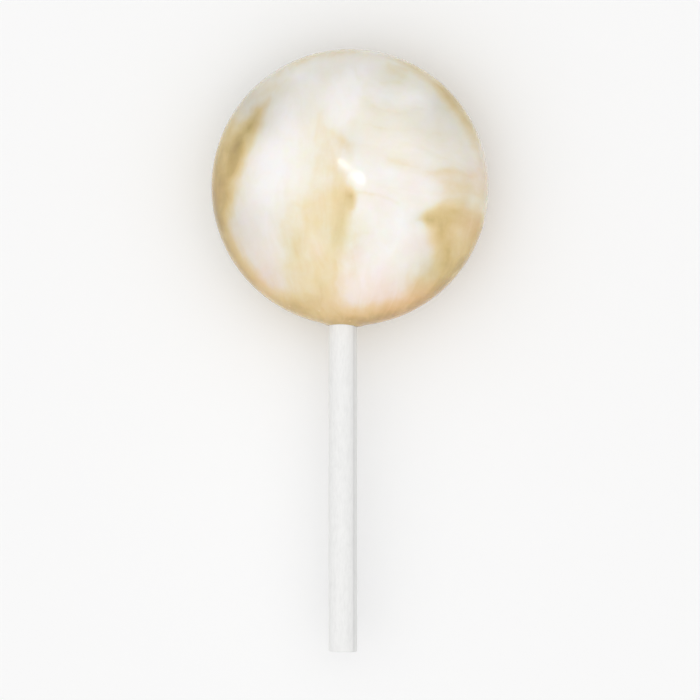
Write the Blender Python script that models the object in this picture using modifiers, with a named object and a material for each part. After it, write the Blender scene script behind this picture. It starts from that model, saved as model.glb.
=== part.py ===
"""Swirl lollipop: a flattened ball of hard candy on a rolled paper stick, lying face up.

Lengths are in metres and +Z is up. The origin is the middle of the small flat spot that the
head rests on, and the stick points along -Y, half the head's thickness above the ground.
"""

import math

import bpy

# Candy head: a round lens-like ball, the same seen from its face and from its back
HEAD_DIAMETER = 0.0445
HEAD_THICKNESS = 0.0200  # before its back is flattened by the resting spot
HEAD_FULLNESS = 2.25  # exponent of its section: 2 is an ellipse, and more has fuller shoulders
REST_SPOT_RADIUS = 0.0050
HEAD_STEPS_AROUND = 72
HEAD_STEPS_TO_RIM = 15

# Fine line round the rim, where the two halves of the mould met
SEAM_WIDTH = 0.0011
SEAM_HEIGHT = 0.00012

# Paper stick: one long sheet rolled up tight, with its last edge as a low step along the side
STICK_DIAMETER = 0.00476  # 3/16 inch, over the last edge
STICK_LENGTH = 0.0906
STICK_LENGTH_INSIDE = 0.0382
STICK_OFFSET_X = -0.0011  # it goes in a little to the left of the head's middle
STICK_STEPS_AROUND = 40
PAPER_THICKNESS = 0.00012
LAP_ANGLE = math.radians(44)  # where the paper's last edge lies, up from the stick's right side
STICK_END_ROUNDING = 0.00015

# Clearance between the solids of the candy and of the stick
FIT_GAP = 0.0003

# Colours of the looks, as red, green, blue and alpha
CREAM_WHITE = (0.90, 0.86, 0.77, 1.0)
CLEAR_AMBER = (0.70, 0.50, 0.24, 1.0)
PAPER_WHITE = (0.86, 0.86, 0.84, 1.0)

HEAD_RADIUS = HEAD_DIAMETER / 2
HALF_THICKNESS = HEAD_THICKNESS / 2
STICK_RADIUS = STICK_DIAMETER / 2
STICK_INNER_Y = -HEAD_RADIUS + STICK_LENGTH_INSIDE
STICK_MIDDLE_Y = STICK_INNER_Y - STICK_LENGTH / 2


def clear_scene():
    for obj in list(bpy.data.objects):
        bpy.data.objects.remove(obj, do_unlink=True)


def new_collection(name):
    collection = bpy.data.collections.new(name)
    bpy.context.scene.collection.children.link(collection)
    return collection


def principled(name, colour, roughness):
    material = bpy.data.materials.new(name)
    material.use_nodes = True
    material.diffuse_color = colour
    shader = material.node_tree.nodes["Principled BSDF"]
    shader.inputs["Base Color"].default_value = colour
    shader.inputs["Roughness"].default_value = roughness
    shader.inputs["Metallic"].default_value = 0.0
    return material


def swirled_candy():
    """Glossy candy in which soft white folds run through clear amber."""
    material = principled("swirled_candy", CREAM_WHITE, 0.06)
    nodes = material.node_tree.nodes
    links = material.node_tree.links
    shader = nodes["Principled BSDF"]
    shader.inputs["Subsurface Weight"].default_value = 0.4
    shader.inputs["Subsurface Scale"].default_value = 0.004

    place = nodes.new("ShaderNodeTexCoord")
    folds = nodes.new("ShaderNodeTexWave")
    folds.inputs["Scale"].default_value = 14.0
    folds.inputs["Distortion"].default_value = 9.0
    folds.inputs["Detail"].default_value = 2.0
    folds.inputs["Detail Scale"].default_value = 0.8
    mix = nodes.new("ShaderNodeValToRGB")
    mix.color_ramp.elements[0].position = 0.15
    mix.color_ramp.elements[0].color = CLEAR_AMBER
    mix.color_ramp.elements[1].position = 0.45
    mix.color_ramp.elements[1].color = CREAM_WHITE
    links.new(place.outputs["Object"], folds.inputs["Vector"])
    links.new(folds.outputs["Fac"], mix.inputs["Fac"])
    links.new(mix.outputs["Color"], shader.inputs["Base Color"])
    return material


def section_radius(height):
    """The head's radius at a height above or below its middle plane."""
    share = abs(height) / HALF_THICKNESS
    return HEAD_RADIUS * (1 - share**HEAD_FULLNESS) ** (1 / HEAD_FULLNESS)


def section_height(radius):
    """The height of the head's face above its middle plane, at a radius."""
    share = radius / HEAD_RADIUS
    return HALF_THICKNESS * (1 - share**HEAD_FULLNESS) ** (1 / HEAD_FULLNESS)


def head_profile():
    """Radius and height of the head's section, from its top down its outer side to its foot."""
    face = []
    for step in range(1, HEAD_STEPS_TO_RIM):
        angle = math.pi / 2 * (1 - step / HEAD_STEPS_TO_RIM)
        height = HALF_THICKNESS * math.sin(angle) ** (2 / HEAD_FULLNESS)
        face.append((section_radius(height), height))

    seam = []
    for share in (0.5, 0.25, 0.0, -0.25, -0.5):
        height = share * SEAM_WIDTH
        rise = SEAM_HEIGHT * math.cos(math.pi * share) ** 2
        seam.append((section_radius(height) + rise, height))

    foot_height = -section_height(REST_SPOT_RADIUS)
    back = [(radius, -height) for radius, height in reversed(face) if -height > foot_height]
    foot = [(REST_SPOT_RADIUS, foot_height), (0.0, foot_height)]
    return [(0.0, HALF_THICKNESS)] + face + seam + back + foot


def add_head(collection, parent):
    profile = head_profile()
    mesh = bpy.data.meshes.new("candy_head")
    points = [(radius, 0.0, height) for radius, height in profile]
    edges = [(index, index + 1) for index in range(len(points) - 1)]
    mesh.from_pydata(points, edges, [])
    head = bpy.data.objects.new("candy_head", mesh)
    head.data.materials.append(swirled_candy())
    collection.objects.link(head)
    head.parent = parent

    turn = head.modifiers.new("turn", "SCREW")
    turn.axis = "Z"
    turn.steps = HEAD_STEPS_AROUND
    turn.render_steps = HEAD_STEPS_AROUND
    turn.use_merge_vertices = True
    turn.merge_threshold = 0.00001
    turn.use_smooth_shade = True
    return head


def add_stick(collection, parent):
    """The rolled sheet's outline, a turn of a snail's spiral, drawn out along the stick."""
    outline = bpy.data.curves.new("paper_stick", "CURVE")
    outline.dimensions = "2D"
    outline.fill_mode = "BOTH"
    outline.extrude = STICK_LENGTH / 2
    spline = outline.splines.new("POLY")
    spline.points.add(STICK_STEPS_AROUND)
    for index, point in enumerate(spline.points):
        turned = index / STICK_STEPS_AROUND
        radius = STICK_RADIUS - PAPER_THICKNESS * turned
        angle = LAP_ANGLE + 2 * math.pi * turned
        point.co = (radius * math.cos(angle), radius * math.sin(angle), 0.0, 1.0)
    spline.use_cyclic_u = True

    stick = bpy.data.objects.new("paper_stick", outline)
    stick.data.materials.append(principled("rolled_paper", PAPER_WHITE, 0.65))
    stick.rotation_euler = (math.pi / 2, 0.0, 0.0)
    stick.location = (STICK_OFFSET_X, STICK_MIDDLE_Y, 0.0)
    collection.objects.link(stick)
    stick.parent = parent

    weld = stick.modifiers.new("weld_caps", "WELD")
    weld.merge_threshold = 0.00001
    rounding = stick.modifiers.new("end_rounding", "BEVEL")
    rounding.width = STICK_END_ROUNDING
    rounding.segments = 2
    rounding.limit_method = "ANGLE"
    rounding.angle_limit = math.radians(60)
    return stick


def cut_stick_bore(head, cutters, parent):
    """Opens the blind hole in which the stick sits, from beyond the rim to the stick's inner end."""
    bore_end = STICK_INNER_Y + FIT_GAP
    bore_start = -HEAD_RADIUS - STICK_DIAMETER
    bpy.ops.mesh.primitive_cylinder_add(
        vertices=STICK_STEPS_AROUND,
        radius=STICK_RADIUS + FIT_GAP,
        depth=bore_end - bore_start,
        rotation=(math.pi / 2, 0.0, 0.0),
        location=(STICK_OFFSET_X, (bore_start + bore_end) / 2, 0.0),
    )
    cutter = bpy.context.active_object
    cutter.name = "stick_bore_cutter"
    for holder in list(cutter.users_collection):
        holder.objects.unlink(cutter)
    cutters.objects.link(cutter)
    cutter.parent = parent
    cutter.hide_render = True
    cutter.display_type = "WIRE"

    bore = head.modifiers.new("stick_bore", "BOOLEAN")
    bore.operation = "DIFFERENCE"
    bore.object = cutter


def build_lollipop():
    clear_scene()
    parts = new_collection("swirl_lollipop")
    cutters = new_collection("cutters")

    # The head and the stick share one middle plane, raised so that the foot is at height zero
    middle = bpy.data.objects.new("lollipop_middle", None)
    middle.location = (0.0, 0.0, section_height(REST_SPOT_RADIUS))
    parts.objects.link(middle)

    head = add_head(parts, middle)
    add_stick(parts, middle)
    cut_stick_bore(head, cutters, middle)


build_lollipop()
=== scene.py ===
"""Looks of the swirl lollipop: marbled hard candy, the rolled paper stick, and a pale studio.

Lengths are in metres, in the frame of the solids: the head rests at the origin, its shown face
is up, and the stick points along -Y. The marbling is laid out in shares of the head's radius,
about the head's middle, as it is seen from above with the stick pointing down.
"""

import math

import bmesh
import bpy
import numpy as np
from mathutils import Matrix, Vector


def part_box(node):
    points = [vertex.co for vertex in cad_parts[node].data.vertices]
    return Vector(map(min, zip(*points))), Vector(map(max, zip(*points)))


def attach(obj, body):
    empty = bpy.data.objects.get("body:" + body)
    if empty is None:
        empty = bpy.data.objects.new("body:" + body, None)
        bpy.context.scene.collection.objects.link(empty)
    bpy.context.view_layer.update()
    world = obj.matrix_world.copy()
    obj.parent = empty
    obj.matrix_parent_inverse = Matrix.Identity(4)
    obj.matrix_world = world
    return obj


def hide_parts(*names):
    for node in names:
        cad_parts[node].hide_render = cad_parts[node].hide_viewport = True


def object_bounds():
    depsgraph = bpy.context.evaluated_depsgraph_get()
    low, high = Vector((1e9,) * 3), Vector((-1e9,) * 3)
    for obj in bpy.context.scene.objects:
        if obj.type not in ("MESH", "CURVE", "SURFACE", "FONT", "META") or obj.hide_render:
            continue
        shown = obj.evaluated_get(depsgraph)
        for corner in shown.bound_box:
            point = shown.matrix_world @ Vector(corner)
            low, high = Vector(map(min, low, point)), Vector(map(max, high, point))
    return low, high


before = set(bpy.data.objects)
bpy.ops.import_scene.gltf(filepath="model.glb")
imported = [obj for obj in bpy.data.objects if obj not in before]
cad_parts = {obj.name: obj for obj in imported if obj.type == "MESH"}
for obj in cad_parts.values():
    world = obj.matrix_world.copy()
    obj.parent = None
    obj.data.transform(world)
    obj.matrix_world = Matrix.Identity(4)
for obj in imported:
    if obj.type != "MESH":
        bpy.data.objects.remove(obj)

cad_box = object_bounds()

# The head's section, as in the solids
HEAD_FULLNESS = 2.25
HEAD_THICKNESS = 0.0200
REST_SPOT_RADIUS = 0.0050
SEAM_WIDTH = 0.0011
SEAM_HEIGHT = 0.00012

# The stick, as in the solids
STICK_RADIUS = 0.00238
STICK_X = -0.0011
PAPER_THICKNESS = 0.00012
LAP_ANGLE = math.radians(44)  # where the paper's last edge lies, up from the stick's right side

head_low, head_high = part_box("candy_head")
stick_low, stick_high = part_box("paper_stick")
HEAD_RADIUS = (head_high.x - head_low.x) / 2 - SEAM_HEIGHT
HALF_THICKNESS = HEAD_THICKNESS / 2
HEAD_MIDDLE = Vector((0.0, 0.0, head_high.z - HALF_THICKNESS))

# The head's mesh
HEAD_CUTS = 119  # odd, so that a row of points runs along the seam
SECTION_POINTS = 4801
RIM_CROWDING = 0.45  # how much closer the rows lie at the seam
RIM_CROWDED = 0.035  # how far round the section they do
SEAM_LEFT = 0.35  # how much of the seam's height shows through the gloss
TINY = 1e-9  # keeps the head's two poles from a division by zero

# Its soft waves and creases, and the candy drawn up round the stick
WAVE_DEPTH = 0.00003
WAVE_LUMPS = (0.28, 3)  # their size in head radii, and their seed
WAVE_SHIFT = 5
MIDDLE_WAVES = 0.3  # how much of the waves is left in the middle, which is the smoothest
MIDDLE_EDGES = (0.15, 0.55)  # from here to here the waves and creases grow, in head radii
FOOT_EDGES = (0.0052, 0.0085)  # and so they do round the spot that it rests on, in metres
CREASE_DEPTH = 0.00006
CREASE_FADES = (0.05, 0.05)
COLLAR_HEIGHT = 0.00020
COLLAR_REACH = 0.00080

# The rolled sheet's mesh
ROLL_STEP = 0.00025
ROLL_HOLE_RADIUS = 0.00030
ROLL_GAPS = (0.000008, 0.000060)  # between the turns, where they are tight and where loose
LOOSE_RHYTHM = 1.9  # how fast tight and loose take turns
LOOSE_SWAY = 1.4  # how much that rhythm sways
LOOSE_SWAY_RHYTHM = 5.3
SHEET_SHARE = 0.97  # how much of the paper's thickness the sheet has
SHARP_ANGLE = math.radians(40)

# The sheet's edges at the stick's ends
END_SETBACK = 0.00014  # how far the outer turns' edges are worn back
END_SETBACK_REACH = 0.0003
END_FRAY = 0.00003
FRAY_LUMPS = (0.7, 41)  # their size and seed
FRAY_RISE = 6  # how many radians along the roll count as much as the circle's radius
FRAY_SHIFT = 40
EDGE_PINCH = 0.00001  # how far each side of the sheet draws in at its edge
EDGE_DEPTH = 0.00006

# Colours, as red, green and blue shares of light
PURE_WHITE = (0.955, 0.92, 0.90)
CREAM = (0.90, 0.853, 0.75)
LIGHT_AMBER = (0.84, 0.70, 0.425)
AMBER = (0.75, 0.58, 0.285)
DEEP_AMBER = (0.61, 0.455, 0.20)
# The next brown deepens the darkest marks of the marbling and is the painted shade round the rim
DARKEST_AMBER_AND_RIM_SHADE = (0.34, 0.23, 0.11)
PAPER_WHITE = (0.87, 0.87, 0.86)
FLOOR_WHITE = (0.94, 0.94, 0.94)
BLACK = (0.0, 0.0, 0.0, 1.0)

# The candy's colour by its tone; its top stop is mostly the painted shade's brown at the rim
TONE_REACH = 1.3  # the tone of the rim's brown
TONE_COLOURS = (
    (0.0, PURE_WHITE),
    (0.30, CREAM),
    (0.62, LIGHT_AMBER),
    (0.85, AMBER),
    (1.00, DEEP_AMBER),
    (TONE_REACH, DARKEST_AMBER_AND_RIM_SHADE),
)

# What tints it, from coolest to warmest
TINTS = (
    (0.0, (0.94, 0.975, 0.970)),
    (0.5, (1.0, 1.0, 1.0)),
    (1.0, (1.0, 0.86, 0.87)),
)

# Streaks along the pulled candy, clouds and bubbles, and how much each changes the tone
STANDING_STREAKS = (8.5, 2.6, 5.0)  # how fine they are across, along and through it
LYING_STREAKS = (2.6, 8.5, 5.0)
STREAK_CONTRAST = 0.28
STREAK_SHIFT = -0.13
CLOUD_CONTRAST = 0.50
CLOUD_SHIFT = -0.23
BUBBLE_PALENESS = -0.16
BUBBLE_SCALE = 420.0
BUBBLE_EDGES = (0.10, 0.04)  # from its outline to its full strength, in cells
BUBBLE_LIMIT = 0.62  # cells whose random value is above it have one
CLEAR_TONES = (0.35, 0.75)  # bubbles show from the first tone up, and fully from the second

# The candy's gloss
DULL_PLACES = (0.35, 0.75)  # the noise's values where it is glossiest and where dullest
ROUGHNESSES = (0.06, 0.12)
RIPPLE_HEIGHT = 0.000006
BUBBLE_BUMP = 0.8  # as a share of that

# The paper
FIBRE_STRETCH = (1.0, 0.22, 1.0)
FIBRE_SHADES = ((0.3, 0.93), (0.6, 1.0))  # how white it is, by the noise of its fibres
FIBRE_HEIGHT = 0.00002
# Beside the paper's last edge: partly a darker glue line, partly painted shade where the edge's step
# shadows the turn below
LAP_SHADE = 0.16  # how much darker it is beside its last edge
LAP_SHADE_REACH = 0.00050
CUT_EDGE_REACH = 0.00008

# The sky's glow by the sine of its height, and how it slants brighter to the front and left
SKY_GLOW = ((0.0, 0.625), (0.08, 0.54), (0.20, 0.20), (1.0, 1.0))
SKY_STRENGTH = 1.47
SKY_SLANT = (-0.13, -0.16, 0.0)
LEVEL_SKY = (0.05, 0.20)  # up to the first height it doesn't slant, and fully from the second

# Small lights high over the head: place, length and width, radiance, turn in degrees and colour
FLASHES = (
    ("flash_right", (0.029, 0.053, 0.90), (0.058, 0.040), 8.0, -49, (0.98, 0.99, 1.0)),
    ("flash_left", (-0.028, 0.112, 0.90), (0.088, 0.012), 14.0, -50, (1.0, 0.94, 0.82)),
)

# Soft panels at the sides, which show in the gloss near the rim. In degrees, where each stands
# round the head, how wide it is, and its low and high edges. Then its radiance.
PANEL_DISTANCE = 0.50
PANELS = (
    ("panel_left", 137, 54, 0, 17, 1.4),
    ("panel_right", 8, 54, 0, 16, 1.1),
)
PANEL_LAYERS = (1.0, 0.82, 0.64, 0.46)  # layers inside each other, so that its edges are soft

# The floor, just below the head
FLOOR_SIZE = 6.0
FLOOR_DROP = 0.00002

# After so many cells the noise repeats
NOISE_CELLS = 32

# The camera looks straight down. The part's length takes so many pixels of the frame's side.
FRAME_PIXELS = 700
PART_PIXELS = 610
LENS = 300.0
SENSOR_WIDTH = 36.0


def section():
    """Radius and height of the head's outline, from the middle of its face to that of its back."""
    turn = np.linspace(0, math.pi, SECTION_POINTS)
    power = 2 / HEAD_FULLNESS
    radius = HEAD_RADIUS * np.sin(turn) ** power
    height = HALF_THICKNESS * np.sign(np.cos(turn)) * np.abs(np.cos(turn)) ** power
    near_rim = np.clip(np.abs(height) / SEAM_WIDTH, 0, 0.5)
    rise = SEAM_LEFT * SEAM_HEIGHT * np.cos(math.pi * near_rim) ** 2
    radius = radius + rise * (radius > HEAD_RADIUS / 2)
    share = REST_SPOT_RADIUS / HEAD_RADIUS
    foot = -HALF_THICKNESS * (1 - share**HEAD_FULLNESS) ** (1 / HEAD_FULLNESS)
    return radius, np.maximum(height, foot)


def soft_noise(points, cell, seed):
    """Smooth noise from -1 to 1 at each point, with lumps about a cell across."""
    table = np.random.default_rng(seed).uniform(-1, 1, (NOISE_CELLS,) * 3)
    place = points / cell
    corner = np.floor(place).astype(int)
    share = place - corner
    share = share * share * (3 - 2 * share)
    total = np.zeros(len(points))
    for dx in (0, 1):
        for dy in (0, 1):
            for dz in (0, 1):
                weight = np.ones(len(points))
                for axis, step in enumerate((dx, dy, dz)):
                    weight *= share[:, axis] if step else 1 - share[:, axis]
                cells = (corner + (dx, dy, dz)) % NOISE_CELLS
                total += weight * table[tuple(cells.T)]
    return total


def smooth_step(value, low, high):
    """0 up to the low edge, 1 from the high edge on, and a soft rise between them."""
    share = np.clip((value - low) / (high - low), 0, 1)
    return share * share * (3 - 2 * share)


def smooth_line(points, steps):
    """A smooth curve through a few points, whose heading at each is set by its two neighbours."""
    knots = np.array(points, dtype=float)
    knots = np.vstack((2 * knots[0] - knots[1], knots, 2 * knots[-1] - knots[-2]))
    reach = np.linspace(0, len(points) - 1, steps)
    index = np.minimum(reach.astype(int), len(points) - 2)
    share = (reach - index)[:, None]
    before, start, end, after = (knots[index + shift] for shift in range(4))
    return 0.5 * (
        2 * start
        + (end - before) * share
        + (2 * before - 5 * start + 4 * end - after) * share**2
        + (3 * start - before - 3 * end + after) * share**3
    )


def stroke(places, points, fades, steps=56):
    """A brush stroke through a few points: how much of it lies on each place, from 0 to 1.

    Each point has its half-width as its third number. The fades are how far the stroke's edges
    fade out, to its left and to its right as it runs.
    """
    line = smooth_line(points, steps)
    middle, half_width = line[:, :2], line[:, 2]
    reach = half_width.max() + max(fades)
    near = np.all((places > middle.min(axis=0) - reach) & (places < middle.max(axis=0) + reach), axis=1)
    row = np.flatnonzero(near)
    apart = places[row, None, :] - middle[None, :, :]
    beyond = np.hypot(apart[:, :, 0], apart[:, :, 1]) - half_width
    nearest = beyond.argmin(axis=1)
    order = np.arange(len(row))
    beyond = beyond[order, nearest]
    apart = apart[order, nearest]
    heading = np.gradient(middle, axis=0)[nearest]
    on_left = heading[:, 0] * apart[:, 1] - heading[:, 1] * apart[:, 0] > 0
    fade = np.where(on_left, fades[0], fades[1])
    cover = np.zeros(len(places))
    cover[row] = 1 - smooth_step(beyond, -fade / 2, fade / 2)
    return cover


# The marbling, painted in this order on plain cream. Each stroke has the points that it runs
# through, with its half-width at each, how softly its left and right edges fade, its tone and
# how much it covers. It fades out where its half-width is below zero. The tones are 0 and less
# for opaque white, 0.3 for cream, 1 for deep amber, and more towards the brown of the painted
# shade at the rim.
PLAIN_TONE = 0.15
WHITE_FOLDS = (
    # Broad fold up the left side
    (((-0.34, 0.78, 0.08), (-0.49, 0.42, 0.12), (-0.56, 0.08, 0.17), (-0.58, -0.24, 0.15),
      (-0.55, -0.50, 0.08)), (0.36, 0.28), -0.05, 0.95),
    # Creamy veil between it and the middle, densest along its right edge
    (((-0.24, 0.52, 0.05), (-0.26, 0.24, 0.09), (-0.25, -0.02, 0.13), (-0.28, -0.28, 0.15)),
     (0.16, 0.40), 0.36, 0.74),
    (((-0.18, 0.44, -0.02), (-0.16, 0.28, 0.02), (-0.13, 0.08, 0.06), (-0.14, -0.14, 0.10)),
     (0.12, 0.32), 0.55, 0.76),
    # Thin veil over the upper right
    (((0.04, 0.43, 0.06), (0.28, 0.44, 0.10), (0.50, 0.38, 0.06)), (0.18, 0.24), 0.33, 0.80),
    (((0.66, 0.34, 0.06), (0.84, 0.28, 0.07)), (0.20, 0.20), 0.22, 0.60),
    # Fold standing in the top
    (((0.03, 0.80, 0.06), (-0.04, 0.62, 0.10), (-0.065, 0.50, 0.065)), (0.10, 0.12), -0.05, 0.92),
    # Fold lying in the upper right
    (((0.18, 0.66, 0.03), (0.36, 0.655, 0.060), (0.57, 0.625, 0.045)), (0.14, 0.08), 0.00, 0.94),
    # Long fold from the middle to the right rim
    (((0.12, 0.15, 0.07), (0.34, 0.10, 0.12), (0.56, 0.01, 0.09), (0.76, -0.05, 0.05)),
     (0.22, 0.14), 0.08, 0.94),
)
AMBER_STREAKS = (
    # Streak from the middle down to the stick, and the faint lobe on its left
    (((-0.20, 0.22, 0.04), (-0.22, 0.04, 0.10), (-0.27, -0.16, 0.14)), (0.22, 0.44), 0.38, 0.60),
    (((-0.46, -0.32, 0.05), (-0.50, -0.50, 0.09), (-0.56, -0.70, 0.08)), (0.24, 0.28), 0.34, 0.62),
    (((-0.31, -0.26, 0.02), (-0.37, -0.44, 0.08), (-0.42, -0.74, 0.14)), (0.32, 0.40), 0.52, 0.76),
    (((-0.04, -0.04, 0.03), (-0.10, -0.26, 0.11), (-0.18, -0.60, 0.17), (-0.24, -1.00, 0.22)),
     (0.20, 0.38), 0.61, 0.90),
    (((-0.02, -0.26, 0.04), (-0.05, -0.42, 0.055), (-0.11, -0.60, 0.04)), (0.15, 0.22), 0.60, 0.72),
    (((-0.02, -0.04, 0.04), (-0.04, -0.14, 0.065), (-0.05, -0.24, 0.040), (-0.06, -0.36, -0.02)),
     (0.12, 0.24), 0.75, 0.84),
    (((0.016, -0.074, 0.024), (0.022, -0.15, 0.008)), (0.12, 0.09), 1.08, 0.92),
    (((-0.20, -0.43, 0.03), (-0.24, -0.50, 0.035)), (0.14, 0.14), 0.38, 0.65),
    (((-0.35, -0.35, 0.03), (-0.37, -0.45, 0.04)), (0.13, 0.16), 0.68, 0.60),
    (((-0.20, -0.72, 0.04), (-0.20, -0.86, 0.05)), (0.16, 0.16), 0.82, 0.60),
)
LOWER_RIGHT = (
    # Broad white fold down the lower right, crisp against the streak
    (((0.25, -0.17, 0.18), (0.31, -0.34, 0.250), (0.34, -0.48, 0.250), (0.25, -0.64, 0.24),
      (0.17, -0.76, 0.17)), (0.26, 0.24), 0.09, 0.96),
    (((0.07, -0.24, 0.010), (0.06, -0.40, 0.055), (0.04, -0.54, 0.060), (-0.02, -0.74, 0.000)),
     (0.22, 0.16), 0.42, 0.74),
    # Wedge on the right: its blunt tip and hump, then down inside the rim
    (((0.68, -0.05, 0.02), (0.79, -0.05, 0.05), (0.90, -0.08, 0.02)), (0.18, 0.18), 0.52, 0.72),
    (((0.63, -0.54, 0.05), (0.56, -0.63, 0.075), (0.47, -0.72, 0.04)), (0.20, 0.22), 0.64, 0.86),
    (((0.50, -0.24, 0.010), (0.60, -0.22, 0.050)), (0.12, 0.12), 0.50, 0.45),
    (((0.88, -0.25, 0.05), (0.86, -0.38, 0.080), (0.78, -0.56, 0.08)), (0.14, 0.14), 0.74, 0.92),
    (((0.578, -0.232, 0.042), (0.64, -0.215, 0.068), (0.72, -0.205, 0.085), (0.82, -0.24, 0.07),
      (0.90, -0.32, 0.05)), (0.15, 0.08), 0.88, 0.95),
    (((0.68, -0.25, 0.09), (0.690, -0.37, 0.110), (0.715, -0.49, 0.115), (0.725, -0.60, 0.100),
      (0.64, -0.73, 0.065)), (0.22, 0.16), 0.86, 0.95),
    (((0.595, -0.234, 0.025), (0.640, -0.30, 0.030), (0.665, -0.40, 0.035)), (0.12, 0.10), 0.99, 0.56),
    (((0.66, -0.50, 0.02), (0.64, -0.62, 0.03)), (0.14, 0.14), 0.98, 0.45),
    (((0.74, -0.44, 0.02), (0.75, -0.56, 0.04)), (0.14, 0.14), 0.68, 0.76),
    # Paler candy between the wedge and the rim
    (((0.87, -0.14, 0.04), (0.85, -0.30, 0.050), (0.80, -0.46, 0.04)), (0.14, 0.18), 0.58, 0.66),
    # Band inside the bottom rim
    (((-0.56, -0.80, 0.03), (-0.22, -0.96, 0.09), (0.08, -0.97, 0.09), (0.38, -0.88, 0.08),
      (0.62, -0.76, 0.09)), (0.18, 0.10), 0.76, 0.95),
)
LEFT_CRESCENT = (
    (((-0.46, 0.76, 0.020), (-0.56, 0.65, 0.060), (-0.66, 0.54, 0.060)), (0.24, 0.20), 0.50, 0.66),
    (((-0.58, 0.62, -0.04), (-0.64, 0.53, 0.010), (-0.71, 0.43, 0.048), (-0.78, 0.32, 0.080),
      (-0.835, 0.20, 0.100), (-0.890, 0.05, 0.102), (-0.91, -0.10, 0.108), (-0.96, -0.27, 0.080)),
     (0.20, 0.18), 0.92, 0.96),
    (((-0.74, 0.41, 0.015), (-0.78, 0.33, 0.045), (-0.84, 0.20, 0.035)), (0.16, 0.16), 1.06, 0.68),
    (((-0.89, 0.05, 0.020), (-0.90, -0.08, 0.030)), (0.14, 0.14), 0.98, 0.40),
)
CREASES = (
    # Thin folds in the upper right and round the middle
    (((0.11, 0.61, 0.010), (0.20, 0.555, 0.014), (0.36, 0.525, 0.016), (0.52, 0.555, 0.006)),
     (0.06, 0.16), 0.36, 0.60),
    (((-0.14, 0.40, 0.008), (-0.09, 0.35, 0.020), (-0.04, 0.295, 0.038), (-0.01, 0.245, 0.024)),
     (0.14, 0.18), 0.60, 0.84),
    (((0.00, 0.30, 0.012), (0.09, 0.285, 0.012), (0.18, 0.285, 0.003)), (0.09, 0.14), 0.42, 0.60),
    (((0.05, -0.055, 0.006), (0.18, -0.075, 0.008), (0.36, -0.12, 0.004)), (0.03, 0.05), 0.42, 0.65),
    (((0.50, 0.27, 0.004), (0.59, 0.235, 0.012), (0.67, 0.20, 0.005)), (0.06, 0.08), 0.48, 0.55),
    (((0.04, -0.325, 0.003), (0.10, -0.350, 0.008), (0.17, -0.345, 0.003)), (0.05, 0.06), 0.38, 0.60),
    (((-0.40, -0.13, 0.003), (-0.31, -0.145, 0.008), (-0.20, -0.13, 0.003)), (0.05, 0.06), 0.46, 0.50),
)
PATCHES = (
    # Faint patches towards the top and the right rim
    (((0.26, 0.85, 0.02), (0.38, 0.80, 0.03)), (0.12, 0.14), 0.52, 0.65),
    (((0.20, 0.735, 0.012), (0.33, 0.745, 0.018)), (0.08, 0.08), 0.44, 0.55),
    (((0.03, 0.82, 0.010), (0.05, 0.76, 0.015)), (0.08, 0.08), 0.42, 0.60),
    (((0.55, 0.76, -0.02), (0.67, 0.67, 0.04), (0.80, 0.50, 0.045), (0.88, 0.34, 0.03)),
     (0.12, 0.18), 0.54, 0.68),
    (((0.30, 0.18, 0.010), (0.42, 0.155, 0.035), (0.56, 0.12, 0.012)), (0.14, 0.14), 0.50, 0.70),
    (((0.60, 0.11, 0.018), (0.72, 0.09, 0.042), (0.86, 0.06, 0.040)), (0.14, 0.16), 0.60, 0.78),
    (((0.68, 0.02, 0.010), (0.80, -0.01, 0.035), (0.92, -0.03, 0.020)), (0.12, 0.14), 0.58, 0.72),
    (((0.03, 0.25, 0.03), (0.14, 0.22, 0.05)), (0.16, 0.16), 0.34, 0.55),
    (((0.06, -0.064, 0.012), (0.16, -0.080, 0.010)), (0.06, 0.07), 0.42, 0.50),
    (((-0.12, 0.33, 0.01), (-0.10, 0.24, 0.03)), (0.14, 0.14), 0.42, 0.55),
    (((-0.14, 0.11, 0.02), (-0.07, 0.08, 0.02)), (0.12, 0.12), 0.60, 0.50),
)
STROKES = WHITE_FOLDS + AMBER_STREAKS + LOWER_RIGHT + LEFT_CRESCENT + CREASES + PATCHES

# Clear candy round the rim: how much of the white it covers, by degrees from the right side
RIM_TONE = 0.90
RIM_COVER = (
    (-180, 0.80), (-162, 0.64), (-145, 0.82), (-115, 0.85), (-90, 0.80), (-70, 0.95), (-35, 0.92),
    (-14, 0.26), (0, 0.22), (22, 0.18), (38, 0.50), (55, 0.20), (72, 0.10), (110, 0.08), (135, 0.14),
    (153, 0.32), (168, 0.70), (180, 0.80),
)
RIM_VEIL_TONE = 0.30  # the thinner white just inside it
# Painted shade: the candy is made darker towards the rim, where less light falls on it
RIM_SHADE = (  # how much darker the candy is there
    (-180, 0.07), (-162, 0.20), (-140, 0.13), (-90, 0.02), (-45, 0.00), (-15, 0.07), (20, 0.09),
    (42, 0.15), (60, 0.08), (95, 0.08), (115, 0.08), (132, 0.17), (145, 0.20), (158, 0.12),
    (180, 0.07),
)
# Painted shade in patches too, some of them in creases; a negative amount takes some of it away
SHADE_PATCHES = (  # and where else: place, reach and how much
    ((-0.63, 0.42), 0.12, 0.06),
    ((-0.74, 0.60), 0.15, 0.08),
    ((0.42, -0.66), 0.14, 0.04),
    ((-0.81, -0.04), 0.11, 0.05),
    ((0.46, 0.64), 0.12, -0.07),
    ((0.20, 0.42), 0.16, 0.03),
    ((0.52, -0.46), 0.13, 0.07),
    ((0.57, -0.61), 0.10, 0.09),
    ((0.50, -0.25), 0.07, 0.05),
    ((0.00, 0.30), 0.11, 0.06),
    ((0.08, -0.45), 0.13, 0.04),
)

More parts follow.
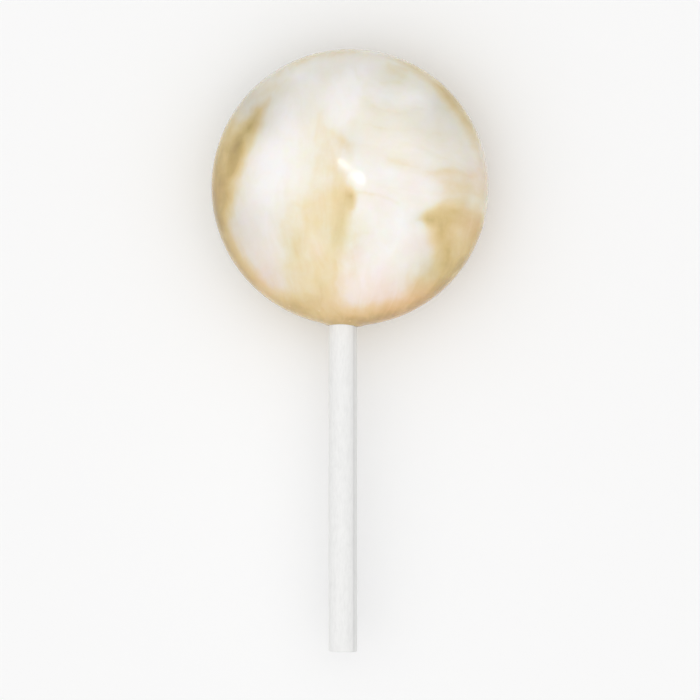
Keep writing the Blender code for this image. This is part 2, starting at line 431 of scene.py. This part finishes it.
# Painted shade: a brown line round the rim's outermost edge, and along the seam on the left and lower
# side
RIM_SHADE_LINE_TONE = 1.25
RIM_SHADE_LINE_COVER = (
    (-180, 0.44), (-130, 0.34), (-112, 0.12), (-90, 0.10), (-70, 0.36), (-50, 0.44), (-30, 0.30),
    (-10, 0.0), (10, 0.0), (30, 0.18), (60, 0.26), (80, 0.04), (110, 0.22), (130, 0.08),
    (150, 0.20), (180, 0.44),
)
SEAM_SHADE_COVER = ((-180, 0.30), (-150, 0.50), (-55, 0.50), (-30, 0.20), (0, 0.0), (150, 0.0), (180, 0.30))

# Where the candy is warmer or cooler than its tone: place, reach and how much warmer
WARM_PATCHES = (
    ((-0.62, -0.42), 0.30, 0.30),
    ((-0.92, -0.06), 0.10, 0.30),
    ((0.08, -0.76), 0.20, 0.30),
    ((0.15, -1.00), 0.30, 0.35),
    ((0.38, -0.88), 0.18, 0.65),
    ((-0.62, -0.68), 0.12, 0.45),
    ((0.58, -0.78), 0.16, 0.70),
    ((0.52, -0.46), 0.14, 0.40),
    ((0.88, -0.28), 0.12, 0.35),
    ((0.96, 0.06), 0.14, 0.30),
    ((0.92, -0.14), 0.10, -0.40),
    ((0.25, -0.08), 0.14, 0.20),
    ((-0.04, 0.29), 0.08, 0.15),
    ((-0.13, 0.20), 0.08, 0.20),
    ((-0.21, -0.45), 0.08, 0.25),
    ((-0.20, -0.85), 0.10, 0.35),
    ((-0.02, -0.66), 0.08, 0.30),
    ((-0.88, 0.36), 0.10, -0.50),
    ((-0.40, -0.40), 0.14, -0.70),
    ((-0.76, 0.36), 0.20, -0.30),
    ((0.02, -0.09), 0.06, -0.50),
    ((-0.54, 0.66), 0.12, -0.20),
    ((-0.70, 0.32), 0.10, -0.40),
    ((-0.08, -0.36), 0.11, -0.90),
    ((-0.09, -0.24), 0.11, -0.30),
    ((0.05, -0.48), 0.09, 0.50),
    ((0.57, -0.61), 0.10, -0.60),
    ((0.53, -0.25), 0.07, -0.40),
    ((0.71, -0.50), 0.10, -0.40),
    ((0.32, 0.82), 0.14, -0.20),
    ((0.52, 0.72), 0.12, -0.30),
    ((-0.34, 0.70), 0.26, -0.60),
    ((0.38, 0.66), 0.20, -0.40),
    ((0.84, 0.46), 0.20, -0.45),
)


# How the marbling goes on round the rim to the back
BACK_TURN = -2.3  # in radians
BACK_TURN_DEPTHS = (0.02, 0.42)  # below the seam, where it starts and where it is full

# How the marbling is uneven: each set of lumps has its size, how much it changes, and its seed
NOISE_SHIFT = 9
EDGE_LUMPS = ((0.34, 0.026, 11), (0.12, 0.016, 12), (0.05, 0.007, 13))
CROSSWISE_SEEDS = 50  # how much higher the seeds are for the lumps along Y
RIM_LUMPS = (0.16, 0.016, 21)
# These lumps make the edge of the painted shade uneven
SHADE_LUMPS = (0.30, 0.10, 22)
WARM_LUMPS = (0.22, 0.22, 31)

# How far out the rim's parts start and are full, in head radii
RIM_VEIL_EDGES = (0.62, 0.90)
RIM_EDGES = (0.86, 0.985)
# The outermost line's brown, the rim's darkening and the seam's brown are painted shade
RIM_SHADE_LINE_EDGES = (0.91, 0.99)
RIM_SHADE_EDGES = (0.35, 0.95)
SEAM_CORE = 0.4  # how far from its middle the seam has its full tone, as a share of its width

# How the pulled candy's lines run
MERIDIAN_BEND = 0.55
FLOW_SLANT = 0.16
LYING_SLANT = 0.2
LYING_RIGHT = (0.0, 0.22)  # they lie down over this reach to the right
LYING_UP = (-0.12, 0.0)  # and over this one upwards


def swirl_places(points):
    """Where each point lies in the marbling's layout, which turns on round the rim to the back."""
    spot = (points - np.array(HEAD_MIDDLE)) / HEAD_RADIUS
    turn = BACK_TURN * smooth_step(-spot[:, 2], *BACK_TURN_DEPTHS)
    x = spot[:, 0] * np.cos(turn) - spot[:, 1] * np.sin(turn)
    y = spot[:, 0] * np.sin(turn) + spot[:, 1] * np.cos(turn)
    places = np.column_stack((x, y))
    for size, reach, seed in EDGE_LUMPS:
        places[:, 0] += reach * soft_noise(spot + NOISE_SHIFT, size, seed)
        places[:, 1] += reach * soft_noise(spot + NOISE_SHIFT, size, seed + CROSSWISE_SEEDS)
    return spot, places


def off_axis(spot, lumps):
    """How far each point is from the head's middle as seen from above, made uneven by lumps."""
    size, reach, seed = lumps
    return np.hypot(spot[:, 0], spot[:, 1]) + reach * soft_noise(spot + NOISE_SHIFT, size, seed)


def round_the_rim(spot, table):
    """The table's value at each point, by the point's angle round the head in degrees."""
    angles, values = zip(*table)
    return np.interp(np.degrees(np.arctan2(spot[:, 1], spot[:, 0])), angles, values)


def painted_tone(spot, places):
    """The strokes, then the clear candy round the rim, and painted shade as a brown outermost line and
    seam.
    """
    tone = np.full(len(places), PLAIN_TONE)
    for points, fades, wanted, cover in STROKES:
        tone += (wanted - tone) * cover * stroke(places, points, fades)
    out = off_axis(spot, RIM_LUMPS)
    rim_cover = round_the_rim(spot, RIM_COVER)
    tone += np.maximum(RIM_VEIL_TONE - tone, 0) * rim_cover * smooth_step(out, *RIM_VEIL_EDGES)
    tone += (RIM_TONE - tone) * rim_cover * smooth_step(out, *RIM_EDGES)
    # Painted shade: a darker, browner line round the outermost rim, and along the seam on the left and
    # lower side
    shade_line_cover = round_the_rim(spot, RIM_SHADE_LINE_COVER)
    tone += (RIM_SHADE_LINE_TONE - tone) * shade_line_cover * smooth_step(out, *RIM_SHADE_LINE_EDGES)
    seam_edges = (SEAM_CORE * SEAM_WIDTH / HEAD_RADIUS, SEAM_WIDTH / HEAD_RADIUS)
    seam = 1 - smooth_step(np.abs(spot[:, 2]), *seam_edges)
    tone += (RIM_SHADE_LINE_TONE - tone) * round_the_rim(spot, SEAM_SHADE_COVER) * seam
    return tone


def patched(places, patches):
    """What soft round patches add up to at each place."""
    total = np.zeros(len(places))
    for place, reach, amount in patches:
        apart = np.hypot(*(places - np.array(place)).T)
        total += amount * np.exp(-((apart / reach) ** 2))
    return total


def painted_shade(spot, places):
    """Painted shade: how much darker the candy is made towards the rim, where less light falls on it,
    and in patches.
    """
    near_rim = smooth_step(off_axis(spot, SHADE_LUMPS), *RIM_SHADE_EDGES)
    return round_the_rim(spot, RIM_SHADE) * near_rim + patched(places, SHADE_PATCHES)


def painted_warmth(places):
    """How warm the candy is, from -1 for coolest to 1 for warmest."""
    size, reach, seed = WARM_LUMPS
    layout = np.column_stack((places, places[:, 0])) + NOISE_SHIFT
    return np.clip(reach * soft_noise(layout, size, seed) + patched(places, WARM_PATCHES), -1, 1)


def flow_places(spot, places):
    """Across and along the pulled candy, whose lines stand like meridians but lie on the right."""
    x, y = places.T
    across = x / np.sqrt(1 - MERIDIAN_BEND * np.clip(y, -1, 1) ** 2)
    along = y + FLOW_SLANT * x
    lying = smooth_step(x, *LYING_RIGHT) * smooth_step(y + LYING_SLANT * x, *LYING_UP)
    return np.column_stack((across, along, spot[:, 2])), lying


def head_mesh():
    """The head as an even mesh: a cube cut into squares, blown up and drawn on to the section."""
    bm = bmesh.new()
    bmesh.ops.create_cube(bm, size=2.0)
    bmesh.ops.subdivide_edges(bm, edges=bm.edges[:], cuts=HEAD_CUTS, use_grid_fill=True)
    mesh = bpy.data.meshes.new("marbled_head")
    bm.to_mesh(mesh)
    bm.free()

    count = len(mesh.vertices)
    cube = np.empty(count * 3)
    mesh.vertices.foreach_get("co", cube)
    ball = np.tan(cube.reshape(-1, 3) * math.pi / 4)
    ball /= np.linalg.norm(ball, axis=1)[:, None]

    radius, height = section()
    steps = np.hypot(np.diff(radius), np.diff(height))
    reach = np.concatenate(((0,), np.cumsum(steps)))
    turned = np.arccos(np.clip(ball[:, 2], -1, 1)) / math.pi - 0.5
    turned *= 1 - RIM_CROWDING * np.exp(-((turned / RIM_CROWDED) ** 2))
    rim_reach = np.interp(0.0, -height, reach)
    wanted = np.where(turned < 0, (1 + 2 * turned) * rim_reach,
                      rim_reach + 2 * turned * (reach[-1] - rim_reach))
    flat = np.maximum(np.hypot(ball[:, 0], ball[:, 1]), TINY)
    points = np.empty((count, 3))
    points[:, 0] = ball[:, 0] / flat * np.interp(wanted, reach, radius)
    points[:, 1] = ball[:, 1] / flat * np.interp(wanted, reach, radius)
    points[:, 2] = np.interp(wanted, reach, height) + HEAD_MIDDLE.z
    mesh.vertices.foreach_set("co", points.ravel())
    mesh.update()
    return mesh, points


def shape_head(mesh, points):
    """Sinks the soft waves and creases into the face and draws the candy up round the stick."""
    spot, places = swirl_places(points)
    normals = np.empty(len(points) * 3)
    mesh.vertices.foreach_get("normal", normals)
    normals = normals.reshape(-1, 3)
    out = np.hypot(spot[:, 0], spot[:, 1])
    off_middle = smooth_step(out, *MIDDLE_EDGES)
    waves = 0.5 + 0.5 * soft_noise(spot + WAVE_SHIFT, *WAVE_LUMPS)
    waves *= MIDDLE_WAVES + (1 - MIDDLE_WAVES) * off_middle
    crease = np.zeros(len(points))
    for line, *_ in CREASES:
        crease = np.maximum(crease, stroke(places, line, CREASE_FADES))
    off_foot = smooth_step(out * HEAD_RADIUS, *FOOT_EDGES)
    off_foot = np.where(points[:, 2] < HEAD_MIDDLE.z, off_foot, 1.0)
    sunk = (WAVE_DEPTH * waves + CREASE_DEPTH * crease * off_middle) * off_foot
    points = points - normals * sunk[:, None]

    off_stick = np.hypot(points[:, 0] - STICK_X, points[:, 2] - HEAD_MIDDLE.z) - STICK_RADIUS
    collar = np.exp(-((np.maximum(off_stick, 0) / COLLAR_REACH) ** 2)) * (points[:, 1] < 0)
    points[:, 1] -= COLLAR_HEIGHT * collar
    mesh.vertices.foreach_set("co", points.ravel())

    flow, lying = flow_places(spot, places)
    for name, kind, key, values in (
        ("tone", "FLOAT", "value", painted_tone(spot, places)),
        ("warmth", "FLOAT", "value", painted_warmth(places)),
        ("shade", "FLOAT", "value", painted_shade(spot, places)),
        ("lying", "FLOAT", "value", lying),
        ("flow", "FLOAT_VECTOR", "vector", flow),
    ):
        attribute = mesh.attributes.new(name, kind, "POINT")
        attribute.data.foreach_set(key, values.astype(np.float32).ravel())
    mesh.shade_smooth()
    mesh.update()


def add_node(tree, kind, inputs=(), **settings):
    """Adds a shader node. An input's value is a number or colour, or the output to link to it."""
    made = tree.nodes.new("ShaderNode" + kind)
    for name, value in settings.items():
        setattr(made, name, value)
    for key, value in dict(inputs).items():
        if isinstance(value, bpy.types.NodeSocket):
            tree.links.new(value, made.inputs[key])
        else:
            made.inputs[key].default_value = value
    return made


def new_material(name):
    material = bpy.data.materials.new(name)
    material.use_nodes = True
    tree = material.node_tree
    return material, tree, tree.nodes["Principled BSDF"]


def colour_ramp(tree, value, stops):
    ramp = add_node(tree, "ValToRGB", {"Fac": value})
    elements = ramp.color_ramp.elements
    for index, (position, colour) in enumerate(stops):
        stop = elements[index] if index < 2 else elements.new(position)
        stop.position = position
        stop.color = (*colour, 1.0)
    return ramp.outputs["Color"]


def stored(tree, name, output="Fac"):
    """What the mesh stores at each point under a name."""
    return add_node(tree, "Attribute", attribute_name=name).outputs[output]


def calculated(tree, operation, *values):
    return add_node(tree, "Math", enumerate(values), operation=operation).outputs[0]


def spread(tree, value, edges, results=(0.0, 1.0)):
    """Brings what lies between two edges on to two results, and holds it there beyond them."""
    inputs = {"Value": value, 1: edges[0], 2: edges[1], 3: results[0], 4: results[1]}
    return add_node(tree, "MapRange", inputs).outputs["Result"]


def stretched(tree, place, amounts):
    inputs = {0: place, 1: amounts}
    return add_node(tree, "VectorMath", inputs, operation="MULTIPLY").outputs["Vector"]


def noise(tree, place, **inputs):
    return add_node(tree, "TexNoise", {"Vector": place, **inputs}).outputs["Fac"]


def mixed(tree, share, first, second, blend="MIX"):
    """The first colour with a share of the second."""
    inputs = {0: share, 6: first, 7: second}
    return add_node(tree, "Mix", inputs, data_type="RGBA", blend_type=blend).outputs[2]


def raise_surface(tree, shader, height, strength, distance):
    inputs = {"Height": height, "Strength": strength, "Distance": distance}
    bump = add_node(tree, "Bump", inputs)
    tree.links.new(bump.outputs["Normal"], shader.inputs["Normal"])


def candy_streaks(tree):
    """Noise drawn out along the pulled candy."""
    flow = stored(tree, "flow", "Vector")
    standing, lying = (
        noise(tree, stretched(tree, flow, stretch), Scale=1.0, Detail=3.0, Roughness=0.5, Distortion=1.2)
        for stretch in (STANDING_STREAKS, LYING_STREAKS)
    )
    inputs = {0: stored(tree, "lying"), 2: standing, 3: lying}
    return add_node(tree, "Mix", inputs, data_type="FLOAT").outputs[0]


def candy_bubbles(tree, place, tone):
    """Tiny bubbles in the clear amber, where about one cell in three has one."""
    cells = add_node(tree, "TexVoronoi", {"Vector": place, "Scale": BUBBLE_SCALE})
    round_spot = spread(tree, cells.outputs["Distance"], BUBBLE_EDGES)
    chosen = calculated(tree, "GREATER_THAN", cells.outputs["Color"], BUBBLE_LIMIT)
    spots = calculated(tree, "MULTIPLY", round_spot, chosen)
    return calculated(tree, "MULTIPLY", spots, spread(tree, tone, CLEAR_TONES))


def candy_colour(tree, place, tone, bubbles):
    """Streaks and clouds feather the painted tone, which is then coloured, tinted and darkened by
    painted shade.
    """
    clouds = noise(tree, place, Scale=150.0, Detail=4.0, Roughness=0.6)
    streaked = calculated(tree, "MULTIPLY_ADD", candy_streaks(tree), STREAK_CONTRAST, STREAK_SHIFT)
    clouded = calculated(tree, "MULTIPLY_ADD", clouds, CLOUD_CONTRAST, CLOUD_SHIFT)
    paler = calculated(tree, "MULTIPLY_ADD", bubbles, BUBBLE_PALENESS, tone)
    uneven = calculated(tree, "ADD", streaked, clouded)
    uneven_tone = calculated(tree, "ADD", paler, uneven)
    depth = calculated(tree, "DIVIDE", uneven_tone, TONE_REACH)
    colour = colour_ramp(tree, depth, tuple((stop / TONE_REACH, shown) for stop, shown in TONE_COLOURS))
    warm_share = calculated(tree, "MULTIPLY_ADD", stored(tree, "warmth"), 0.5, 0.5)
    tint = colour_ramp(tree, warm_share, TINTS)
    tinted = mixed(tree, 1.0, colour, tint, "MULTIPLY")
    # Painted shade darkens the colour towards black
    return mixed(tree, stored(tree, "shade"), tinted, BLACK)


def candy_material():
    material, tree, shader = new_material("marbled_candy")
    place = add_node(tree, "TexCoord").outputs["Object"]
    tone = stored(tree, "tone")
    bubbles = candy_bubbles(tree, place, tone)
    tree.links.new(candy_colour(tree, place, tone, bubbles), shader.inputs["Base Color"])
    shader.inputs["IOR"].default_value = 1.50
    shader.inputs["Subsurface Weight"].default_value = 0.8
    shader.inputs["Subsurface Scale"].default_value = 0.0012
    shader.inputs["Subsurface Radius"].default_value = (1.0, 0.7, 0.4)

    # Licked-smooth gloss with fine dull places, and very low ripples
    dullness = noise(tree, place, Scale=900.0, Detail=3.0)
    tree.links.new(spread(tree, dullness, DULL_PLACES, ROUGHNESSES), shader.inputs["Roughness"])
    ripples = noise(tree, place, Scale=420.0, Detail=2.0)
    raised = calculated(tree, "MULTIPLY_ADD", bubbles, BUBBLE_BUMP, ripples)
    raise_surface(tree, shader, raised, 1.0, RIPPLE_HEIGHT)
    return material


def paper_material():
    material, tree, shader = new_material("rolled_paper_fibre")
    place = add_node(tree, "TexCoord").outputs["Object"]
    along = stretched(tree, place, FIBRE_STRETCH)
    fibres = noise(tree, along, Scale=2600.0, Detail=4.0, Roughness=0.7)
    shades = tuple(
        (position, tuple(share * part for part in PAPER_WHITE)) for position, share in FIBRE_SHADES
    )
    # Darker beside the last edge: partly a glue line, partly painted shade
    paper = mixed(tree, stored(tree, "lap_glue_and_shade"), colour_ramp(tree, fibres, shades), BLACK)
    tree.links.new(paper, shader.inputs["Base Color"])
    shader.inputs["Roughness"].default_value = 0.6
    raise_surface(tree, shader, fibres, 0.6, FIBRE_HEIGHT)
    return material


def add_head():
    mesh, points = head_mesh()
    shape_head(mesh, points)
    mesh.materials.append(candy_material())
    head = bpy.data.objects.new("marbled_head", mesh)
    bpy.context.scene.collection.objects.link(head)
    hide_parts("candy_head")
    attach(head, "root")


def roll_spiral():
    """Angle and radius along the rolled sheet, from its last edge in to the hole at the middle."""
    tight, loose = ROLL_GAPS
    angle, radius = LAP_ANGLE, STICK_RADIUS
    spiral = []
    while radius > ROLL_HOLE_RADIUS + PAPER_THICKNESS:
        spiral.append((angle, radius))
        turned = angle - LAP_ANGLE
        sway = LOOSE_SWAY * math.sin(turned / LOOSE_SWAY_RHYTHM)
        looseness = (0.5 + 0.5 * math.sin(turned / LOOSE_RHYTHM + sway)) ** 3
        pitch = PAPER_THICKNESS + tight + (loose - tight) * looseness
        angle += ROLL_STEP / radius
        radius -= pitch * ROLL_STEP / radius / (2 * math.pi)
    return np.array(spiral)


def roll_rows(ring_angle, ring_radius):
    """The sheet's points: two rows at each end, where its edge is frayed, worn and pinched."""
    fray = np.column_stack((np.cos(ring_angle), np.sin(ring_angle), ring_angle / FRAY_RISE))
    fray = END_FRAY * (0.5 + 0.5 * soft_noise(fray + FRAY_SHIFT, *FRAY_LUMPS))
    worn_edges = (STICK_RADIUS - END_SETBACK_REACH, STICK_RADIUS)
    worn = fray + END_SETBACK * smooth_step(ring_radius, *worn_edges)
    near, far = (
        ((end_y + inward * worn, EDGE_PINCH), (end_y + inward * (worn + EDGE_DEPTH), 0.0))
        for end_y, inward in ((stick_low.y, 1), (stick_high.y, -1))
    )
    count = len(ring_angle)
    outer_side = np.arange(count) < count // 2
    rows = []
    for y, pinch in (*near, *reversed(far)):
        drawn_in = ring_radius - np.where(outer_side, pinch, -pinch)
        x = STICK_X + drawn_in * np.cos(ring_angle)
        z = HEAD_MIDDLE.z + drawn_in * np.sin(ring_angle)
        rows.append(np.column_stack((x, y, z)))
    return rows


def roll_quads(row_count, count):
    """The sheet's faces from row to row, and its edges at the two ends."""
    quads = []
    for start in range(0, (row_count - 1) * count, count):
        for step in range(count):
            after = (step + 1) % count
            quads.append((start + step, start + after, start + count + after, start + count + step))
    for start in (0, (row_count - 1) * count):
        last = start + count - 1
        for step in range(count // 2 - 1):
            quads.append((start + step, start + step + 1, last - 1 - step, last - step))
    return quads


def add_stick():
    """The stick as one rolled sheet, whose turns show at its ends."""
    angle, radius = roll_spiral().T
    ring_angle = np.concatenate((angle, angle[::-1]))
    ring_radius = np.concatenate((radius, radius[::-1] - SHEET_SHARE * PAPER_THICKNESS))
    rows = roll_rows(ring_angle, ring_radius)
    mesh = bpy.data.meshes.new("rolled_stick")
    mesh.from_pydata(np.concatenate(rows).tolist(), [], roll_quads(len(rows), len(ring_angle)))

    # The paper is darker beside its last edge: partly a glue line, partly painted shade under the step
    unrolled = STICK_RADIUS * (ring_angle - LAP_ANGLE)
    under_edge = STICK_RADIUS * 2 * math.pi - unrolled
    lap_glue_and_shade = np.exp(-np.abs(under_edge) / LAP_SHADE_REACH) + np.exp(-unrolled / CUT_EDGE_REACH)
    attribute = mesh.attributes.new("lap_glue_and_shade", "FLOAT", "POINT")
    attribute.data.foreach_set("value", np.tile(LAP_SHADE * lap_glue_and_shade, len(rows)).astype(np.float32))
    bm = bmesh.new()
    bm.from_mesh(mesh)
    bmesh.ops.recalc_face_normals(bm, faces=bm.faces[:])
    bm.to_mesh(mesh)
    bm.free()
    mesh.shade_smooth()
    mesh.set_sharp_from_angle(angle=SHARP_ANGLE)
    mesh.materials.append(paper_material())
    stick = bpy.data.objects.new("rolled_stick", mesh)
    bpy.context.scene.collection.objects.link(stick)
    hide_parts("paper_stick")
    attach(stick, "root")


def add_floor():
    bpy.ops.mesh.primitive_plane_add(size=FLOOR_SIZE, location=(0.0, 0.0, -FLOOR_DROP))
    floor = bpy.context.active_object
    floor.name = "pale_floor"
    material, _, shader = new_material("pale_floor")
    shader.inputs["Base Color"].default_value = (*FLOOR_WHITE, 1.0)
    shader.inputs["Roughness"].default_value = 0.8
    floor.data.materials.append(material)


def add_light(name, place, sizes, radiance, turn, colour):
    """A soft oval light that shines straight down, with the same radiance at any size."""
    light = bpy.data.lights.new(name, "AREA")
    light.color = colour
    light.shape = "ELLIPSE"
    light.size, light.size_y = sizes
    light.energy = radiance * math.pi * math.pi * sizes[0] * sizes[1] / 4
    holder = bpy.data.objects.new(name, light)
    holder.location = place
    holder.rotation_euler.z = math.radians(turn)
    holder.visible_camera = False
    bpy.context.scene.collection.objects.link(holder)


def add_panel(name, azimuth, span, low, high, radiance):
    """A soft panel beside the head, by its angles in degrees. It shows in gloss but lights nothing."""
    azimuth, half_span, low, high = (math.radians(angle) for angle in (azimuth, span / 2, low, high))
    middle = (low + high) / 2
    away = Vector((
        math.cos(azimuth) * math.cos(middle), math.sin(azimuth) * math.cos(middle), math.sin(middle)
    ))
    for layer, share in enumerate(PANEL_LAYERS):
        light = bpy.data.lights.new(f"{name}_{layer}", "AREA")
        light.shape = "RECTANGLE"
        light.size = share * 2 * PANEL_DISTANCE * math.tan(half_span)
        light.size_y = share * 2 * PANEL_DISTANCE * math.tan((high - low) / 2)
        light.energy = radiance / len(PANEL_LAYERS) * math.pi * light.size * light.size_y
        holder = bpy.data.objects.new(light.name, light)
        holder.location = HEAD_MIDDLE + PANEL_DISTANCE * away
        holder.rotation_euler = away.to_track_quat("Z", "Y").to_euler()
        holder.visible_camera = False
        holder.visible_diffuse = False
        bpy.context.scene.collection.objects.link(holder)


def add_world():
    """A studio sky: bright overhead, dimmer at its sides, with a pale band at the horizon."""
    world = bpy.data.worlds.new("studio")
    bpy.context.scene.world = world
    world.use_nodes = True
    tree = world.node_tree
    background = tree.nodes["Background"]
    direction = add_node(tree, "TexCoord").outputs["Generated"]
    height = add_node(tree, "SeparateXYZ", {0: direction}).outputs["Z"]
    sky = colour_ramp(tree, height, tuple((share, (glow, glow, glow)) for share, glow in SKY_GLOW))
    inputs = {0: direction, 1: SKY_SLANT}
    to_front = add_node(tree, "VectorMath", inputs, operation="DOT_PRODUCT").outputs["Value"]
    slant = calculated(tree, "MULTIPLY", to_front, spread(tree, height, LEVEL_SKY))
    strength = calculated(tree, "MULTIPLY_ADD", sky, SKY_STRENGTH, slant)
    tree.links.new(strength, background.inputs["Strength"])
    background.inputs["Color"].default_value = (1.0, 1.0, 1.0, 1.0)


def add_lights():
    for flash in FLASHES:
        add_light(*flash)
    for panel in PANELS:
        add_panel(*panel)


def add_camera():
    camera = bpy.data.cameras.new("camera")
    camera.lens = LENS
    camera.sensor_width = SENSOR_WIDTH
    low, high = cad_box
    middle = (low + high) / 2
    frame_height = (high.y - low.y) * FRAME_PIXELS / PART_PIXELS
    distance = frame_height * camera.lens / camera.sensor_width
    holder = bpy.data.objects.new("camera", camera)
    holder.location = (middle.x, middle.y, high.z + distance)
    bpy.context.scene.collection.objects.link(holder)
    bpy.context.scene.camera = holder


add_head()
add_stick()
add_floor()
add_world()
add_lights()
add_camera()
bpy.context.scene.view_settings.view_transform = "Standard"
